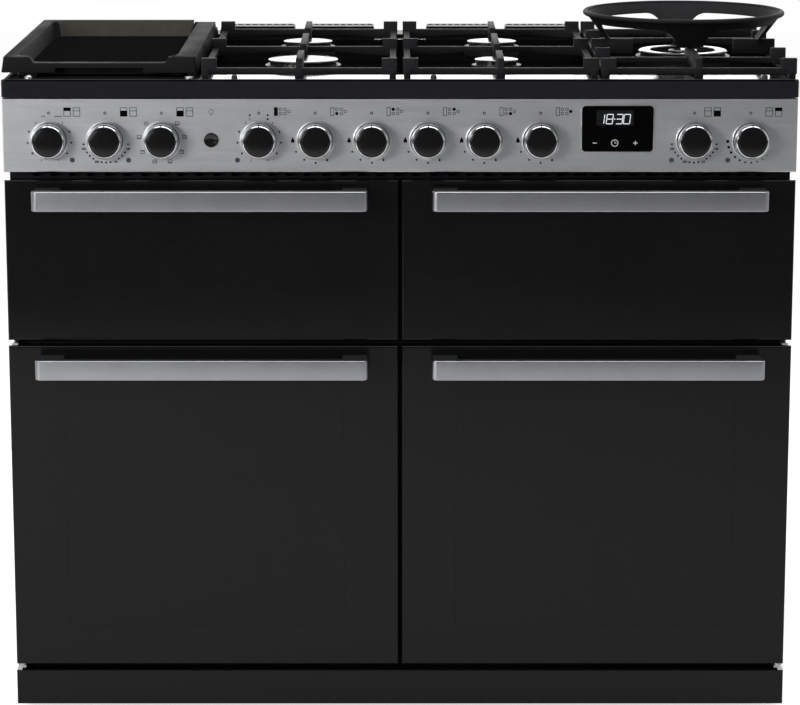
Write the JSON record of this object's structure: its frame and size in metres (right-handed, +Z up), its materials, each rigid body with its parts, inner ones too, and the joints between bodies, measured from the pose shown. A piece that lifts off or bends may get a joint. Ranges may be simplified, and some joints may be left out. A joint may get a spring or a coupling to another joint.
{
  "type": "dual fuel range cooker",
  "caption": "Wide free-standing range cooker: gas hob with griddle and wok ring, steel control panel, drop-down grill door, pull-out proving drawer and two side-hinged ovens.",
  "frame": {"origin": "on the floor, midway across the hob and midway in depth between the handles' fronts and the hob's rear edge", "axes": "+X to the viewer's right along the front, +Y away from the viewer, +Z up"},
  "size_m": [1.1044, 0.653, 0.973],
  "materials": {
    "black_enamel": "gloss",
    "black_paint": "satin",
    "brushed_stainless": "brushed",
    "galvanised_steel": "satin",
    "glass_ceramic": "gloss",
    "black_glass": "gloss",
    "polished_chrome": "polished",
    "lamp_lens": "gloss",
    "grey_enamel": "gloss",
    "element_steel": "matte",
    "bright_steel": "satin",
    "chromed_wire": "polished",
    "burner_aluminium": "satin",
    "cap_enamel": "gloss",
    "tap_brass": "satin",
    "seal_rubber": "matte",
    "button_plastic": "gloss",
    "cast_iron": "matte",
    "satin_aluminium": "satin",
    "roller_plastic": "matte"
  },
  "bodies": {
    "cooker": {"base_frame": "galvanised_steel", "side_panels": "black_paint", "back_panel": "galvanised_steel", "front_frame": "black_paint", "plinth": "black_enamel", "hob_tray": "black_enamel", "ceramic_hotplate": "glass_ceramic", "rear_vent_trim": "black_enamel", "control_panel": "brushed_stainless", "display_glass": "black_glass", "knob_bezels": "polished_chrome", "indicator_lamps": "lamp_lens", "left_oven_liner": "grey_enamel", "right_oven_liner": "grey_enamel", "grill_liner": "grey_enamel", "drawer_liner": "grey_enamel", "heating_elements": "element_steel", "fan_housings": "bright_steel", "shelf_supports": "chromed_wire", "burner_heads": "burner_aluminium", "burner_caps": "cap_enamel", "control_rail": "tap_brass", "door_hinges": "galvanised_steel", "door_seals": "seal_rubber"},
    "knob_grill": {"knob_grill": "polished_chrome"},
    "knob_left_oven_heat": {"knob_left_oven_heat": "polished_chrome"},
    "knob_left_oven_function": {"knob_left_oven_function": "polished_chrome"},
    "knob_hotplate": {"knob_hotplate": "polished_chrome"},
    "knob_burner_left_front": {"knob_burner_left_front": "polished_chrome"},
    "knob_burner_left_rear": {"knob_burner_left_rear": "polished_chrome"},
    "knob_burner_centre_rear": {"knob_burner_centre_rear": "polished_chrome"},
    "knob_burner_centre_front": {"knob_burner_centre_front": "polished_chrome"},
    "knob_burner_wok": {"knob_burner_wok": "polished_chrome"},
    "knob_right_oven": {"knob_right_oven": "polished_chrome"},
    "knob_proving_drawer": {"knob_proving_drawer": "polished_chrome"},
    "light_button": {"light_button": "button_plastic"},
    "griddle_plate": {"griddle_plate": "cast_iron"},
    "pan_support_left": {"pan_support_left": "cast_iron"},
    "pan_support_centre": {"pan_support_centre": "cast_iron"},
    "pan_support_right": {"pan_support_right": "cast_iron"},
    "wok_ring": {"wok_ring": "cast_iron"},
    "left_oven_shelves": {"left_oven_shelves": "chromed_wire"},
    "right_oven_shelves": {"right_oven_shelves": "chromed_wire"},
    "left_fan": {"left_fan": "bright_steel"},
    "right_fan": {"right_fan": "bright_steel"},
    "rear_rollers": {"rear_rollers": "roller_plastic"},
    "front_feet": {"front_feet": "roller_plastic"},
    "grill_door": {"grill_door": "black_enamel", "grill_door_handle": "satin_aluminium"},
    "grill_carriage": {"grill_carriage": "bright_steel", "grill_pan": "grey_enamel"},
    "proving_drawer": {"drawer_front": "black_enamel", "drawer_box": "bright_steel", "drawer_handle": "satin_aluminium"},
    "left_oven_door": {"left_oven_door": "black_enamel", "left_door_liner": "grey_enamel", "left_door_handle": "satin_aluminium"},
    "right_oven_door": {"right_oven_door": "black_enamel", "right_door_liner": "grey_enamel", "right_door_handle": "satin_aluminium"}
  },
  "joints": [
    {"name": "knob_grill_turn", "type": "hinge", "parent": "cooker", "child": "knob_grill", "pos_m": [-0.4815, -0.2755, 0.8205], "axis": [0, -1, 0], "range_deg": [-270, 0]},
    {"name": "knob_left_oven_heat_turn", "type": "hinge", "parent": "cooker", "child": "knob_left_oven_heat", "pos_m": [-0.4042, -0.2755, 0.8205], "axis": [0, -1, 0], "range_deg": [-270, 0]},
    {"name": "knob_left_oven_function_turn", "type": "hinge", "parent": "cooker", "child": "knob_left_oven_function", "pos_m": [-0.3269, -0.2755, 0.8205], "axis": [0, -1, 0], "continuous": true},
    {"name": "knob_hotplate_turn", "type": "hinge", "parent": "cooker", "child": "knob_hotplate", "pos_m": [-0.19325, -0.2755, 0.8205], "axis": [0, -1, 0], "range_deg": [-270, 0]},
    {"name": "knob_burner_left_front_turn", "type": "hinge", "parent": "cooker", "child": "knob_burner_left_front", "pos_m": [-0.11595, -0.2755, 0.8205], "axis": [0, -1, 0], "range_deg": [0, 225]},
    {"name": "knob_burner_left_rear_turn", "type": "hinge", "parent": "cooker", "child": "knob_burner_left_rear", "pos_m": [-0.03865, -0.2755, 0.8205], "axis": [0, -1, 0], "range_deg": [0, 225]},
    {"name": "knob_burner_centre_rear_turn", "type": "hinge", "parent": "cooker", "child": "knob_burner_centre_rear", "pos_m": [0.03865, -0.2755, 0.8205], "axis": [0, -1, 0], "range_deg": [0, 225]},
    {"name": "knob_burner_centre_front_turn", "type": "hinge", "parent": "cooker", "child": "knob_burner_centre_front", "pos_m": [0.11595, -0.2755, 0.8205], "axis": [0, -1, 0], "range_deg": [0, 225]},
    {"name": "knob_burner_wok_turn", "type": "hinge", "parent": "cooker", "child": "knob_burner_wok", "pos_m": [0.19325, -0.2755, 0.8205], "axis": [0, -1, 0], "range_deg": [0, 225]},
    {"name": "knob_right_oven_turn", "type": "hinge", "parent": "cooker", "child": "knob_right_oven", "pos_m": [0.4042, -0.2755, 0.8205], "axis": [0, -1, 0], "range_deg": [-270, 0]},
    {"name": "knob_proving_drawer_turn", "type": "hinge", "parent": "cooker", "child": "knob_proving_drawer", "pos_m": [0.4815, -0.2755, 0.8205], "axis": [0, -1, 0], "range_deg": [-270, 0]},
    {"name": "light_button_press", "type": "slide", "parent": "cooker", "child": "light_button", "axis": [0, 1, 0], "range_m": [0, 0.002], "stiffness_N_per_m": 800, "springref_m": -0.001},
    {"name": "griddle_plate_lift", "type": "slide", "parent": "cooker", "child": "griddle_plate", "axis": [0, 0, 1], "range_m": [0, 0.12]},
    {"name": "pan_support_left_lift", "type": "slide", "parent": "cooker", "child": "pan_support_left", "axis": [0, 0, 1], "range_m": [0, 0.1]},
    {"name": "pan_support_centre_lift", "type": "slide", "parent": "cooker", "child": "pan_support_centre", "axis": [0, 0, 1], "range_m": [0, 0.02]},
    {"name": "pan_support_right_lift", "type": "slide", "parent": "cooker", "child": "pan_support_right", "axis": [0, 0, 1], "range_m": [0, 0.1]},
    {"name": "wok_ring_lift", "type": "slide", "parent": "pan_support_right", "child": "wok_ring", "axis": [0, 0, 1], "range_m": [0, 0.08]},
    {"name": "grill_door_drop", "type": "hinge", "parent": "cooker", "child": "grill_door", "pos_m": [-0.27375, -0.268, 0.548], "axis": [1, 0, 0], "range_deg": [0, 90]},
    {"name": "grill_carriage_slide", "type": "slide", "parent": "cooker", "child": "grill_carriage", "axis": [0, -1, 0], "range_m": [0, 0.15]},
    {"name": "proving_drawer_slide", "type": "slide", "parent": "cooker", "child": "proving_drawer", "axis": [0, -1, 0], "range_m": [0, 0.32]},
    {"name": "left_oven_door_swing", "type": "hinge", "parent": "cooker", "child": "left_oven_door", "pos_m": [-0.538, -0.268, 0.301], "axis": [0, 0, -1], "range_deg": [0, 105]},
    {"name": "left_oven_shelves_slide", "type": "slide", "parent": "cooker", "child": "left_oven_shelves", "axis": [0, -1, 0], "range_m": [0, 0.15]},
    {"name": "left_fan_spin", "type": "hinge", "parent": "cooker", "child": "left_fan", "pos_m": [-0.27375, 0.2, 0.295], "axis": [0, 1, 0], "continuous": true},
    {"name": "right_oven_door_swing", "type": "hinge", "parent": "cooker", "child": "right_oven_door", "pos_m": [0.538, -0.268, 0.301], "axis": [0, 0, 1], "range_deg": [0, 105]},
    {"name": "right_oven_shelves_slide", "type": "slide", "parent": "cooker", "child": "right_oven_shelves", "axis": [0, -1, 0], "range_m": [0, 0.15]},
    {"name": "right_fan_spin", "type": "hinge", "parent": "cooker", "child": "right_fan", "pos_m": [0.27375, 0.2, 0.295], "axis": [0, 1, 0], "continuous": true},
    {"name": "rear_rollers_roll", "type": "hinge", "parent": "cooker", "child": "rear_rollers", "pos_m": [0, 0.25, 0.025], "axis": [1, 0, 0], "continuous": true},
    {"name": "front_feet_height", "type": "slide", "parent": "cooker", "child": "front_feet", "axis": [0, 0, -1], "range_m": [0, 0.02]}
  ],
  "couplings": [
    {"joint": "grill_carriage_slide", "follows": "grill_door_drop", "m_per_rad": 0.095},
    {"joint": "left_oven_shelves_slide", "follows": "left_oven_door_swing", "m_per_rad": 0.08},
    {"joint": "right_oven_shelves_slide", "follows": "right_oven_door_swing", "m_per_rad": 0.08}
  ]
}
